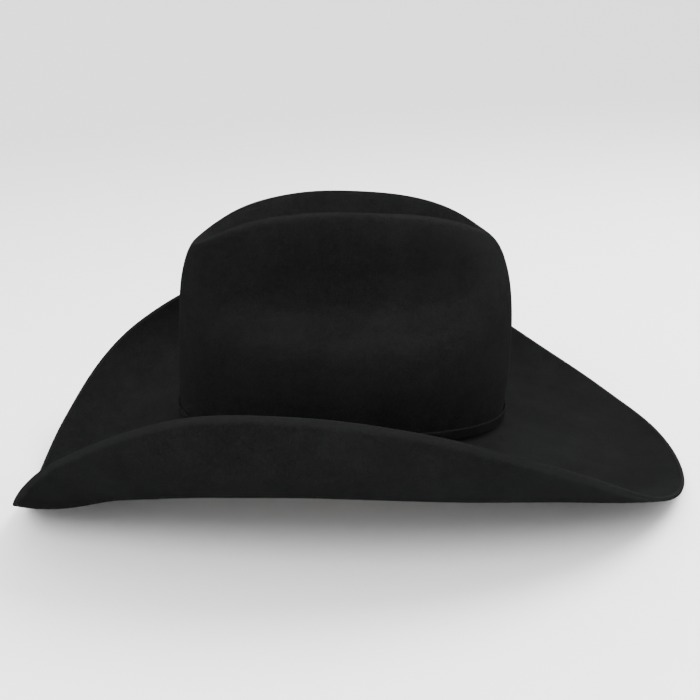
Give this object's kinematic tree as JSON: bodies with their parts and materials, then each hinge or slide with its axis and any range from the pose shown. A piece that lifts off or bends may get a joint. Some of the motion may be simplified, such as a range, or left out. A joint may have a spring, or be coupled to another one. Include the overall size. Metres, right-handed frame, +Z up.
{
  "type": "western felt hat",
  "caption": "Wide-brimmed western hat in black fur felt with a cattleman crown, rolled sides, narrow self band, leather sweatband and satin lining.",
  "frame": {"origin": "centre of the hat's plan outline, on the plane that its brim tips rest on", "axes": "+X to the front of the hat, +Y to the wearer's left, +Z up out of the crown"},
  "size_m": [0.4089, 0.3512, 0.1722],
  "materials": {
    "black_felt": "fine short-nap fur felt, matt black with a soft sheen",
    "dark_silver": "satin silver tone",
    "brown_leather": "smooth vegetable-tanned roan leather",
    "clear_reed": "natural extruded plastic",
    "black_ribbon": "ribbed ribbon",
    "paper_tag": "plain woven tag, blank",
    "satin": "satin",
    "clear_film": "clear soft vinyl film"
  },
  "bodies": {
    "root": {"felt_body": "black_felt", "hatband": "black_felt", "band_end": "black_felt", "buckle": "dark_silver", "keeper": "dark_silver", "band_tip": "dark_silver", "sweatband": "brown_leather", "seam_tape": "brown_leather", "reed": "clear_reed", "reed_tape": "black_ribbon", "bow_loops": "black_ribbon", "bow_knot": "black_ribbon", "size_tag": "paper_tag", "lining_side": "satin", "lining_tip": "satin", "tip_shield": "clear_film"}
  },
  "joints": []
}
